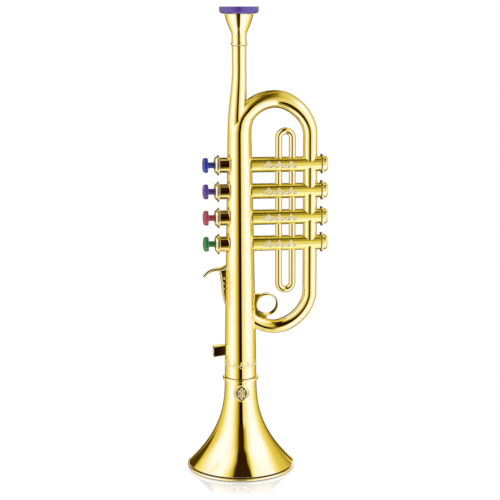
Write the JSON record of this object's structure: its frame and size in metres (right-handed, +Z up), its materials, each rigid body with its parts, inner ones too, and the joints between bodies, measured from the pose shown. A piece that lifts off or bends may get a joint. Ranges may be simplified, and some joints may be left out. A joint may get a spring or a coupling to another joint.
{
  "type": "toy trumpet",
  "caption": "Toy trumpet in gold-plated plastic, standing on its bell: press buttons on its side sound reeds inside, with a finger hook, a finger ring and a coloured mouthpiece rim.",
  "frame": {"origin": "centre of the bounding box's footprint on the ground, under the bell's lip", "axes": "+Z up along the main tube from the bell to the mouthpiece; +X from the buttons towards the loop; +Y to the side with the screws"},
  "size_m": [0.1138, 0.0876, 0.37],
  "materials": {
    "gold_body": "hollow moulded plastic, vacuum plated in bright gold, mirror smooth",
    "gold_bell": "moulded plastic, vacuum plated in bright gold, mirror smooth",
    "gold_mouthpiece": "moulded plastic, vacuum plated in bright gold, mirror smooth",
    "gold_caps": "moulded plastic, vacuum plated in bright gold, mirror smooth",
    "purple_rim": "purple moulded plastic, satin gloss",
    "button_blue": "blue moulded plastic, glossy",
    "button_purple": "purple moulded plastic, glossy",
    "button_red": "red moulded plastic, glossy",
    "button_green": "green moulded plastic, glossy",
    "pad_rubber": "soft black rubber, matt",
    "chest_plastic": "plain white moulded plastic",
    "plate_brass": "stamped sheet, unpolished",
    "reed_brass": "thin sheet, scraped to pitch",
    "spring_steel": "drawn spring wire",
    "screw_steel": "zinc-plated steel"
  },
  "bodies": {
    "trumpet_body": {"front_shell": "gold_body", "back_shell": "gold_body", "bell": "gold_bell", "mouthpiece_cup": "gold_mouthpiece", "mouthpiece_rim": "purple_rim", "return_spring_1": "spring_steel", "valve_top_cap_1": "gold_caps", "valve_bottom_cap_1": "gold_caps", "reed_1": "reed_brass", "return_spring_2": "spring_steel", "valve_top_cap_2": "gold_caps", "valve_bottom_cap_2": "gold_caps", "reed_2": "reed_brass", "return_spring_3": "spring_steel", "valve_top_cap_3": "gold_caps", "valve_bottom_cap_3": "gold_caps", "reed_3": "reed_brass", "return_spring_4": "spring_steel", "valve_top_cap_4": "gold_caps", "valve_bottom_cap_4": "gold_caps", "reed_4": "reed_brass", "reed_chest": "chest_plastic", "reed_plate": "plate_brass", "body_screw_1": "screw_steel", "body_screw_2": "screw_steel", "body_screw_3": "screw_steel", "body_screw_4": "screw_steel", "body_screw_5": "screw_steel"},
    "button_1": {"button_1_blue": "button_blue", "valve_pad_1": "pad_rubber"},
    "button_2": {"button_2_purple": "button_purple", "valve_pad_2": "pad_rubber"},
    "button_3": {"button_3_red": "button_red", "valve_pad_3": "pad_rubber"},
    "button_4": {"button_4_green": "button_green", "valve_pad_4": "pad_rubber"}
  },
  "joints": [
    {"name": "button_1_press", "type": "slide", "parent": "trumpet_body", "child": "button_1", "axis": [1, 0, 0], "range_m": [0, 0.0044], "stiffness_N_per_m": 250, "springref_m": -0.002, "deforming": ["return_spring_1"]},
    {"name": "button_2_press", "type": "slide", "parent": "trumpet_body", "child": "button_2", "axis": [1, 0, 0], "range_m": [0, 0.0044], "stiffness_N_per_m": 250, "springref_m": -0.002, "deforming": ["return_spring_2"]},
    {"name": "button_3_press", "type": "slide", "parent": "trumpet_body", "child": "button_3", "axis": [1, 0, 0], "range_m": [0, 0.0044], "stiffness_N_per_m": 250, "springref_m": -0.002, "deforming": ["return_spring_3"]},
    {"name": "button_4_press", "type": "slide", "parent": "trumpet_body", "child": "button_4", "axis": [1, 0, 0], "range_m": [0, 0.0044], "stiffness_N_per_m": 250, "springref_m": -0.002, "deforming": ["return_spring_4"]}
  ]
}
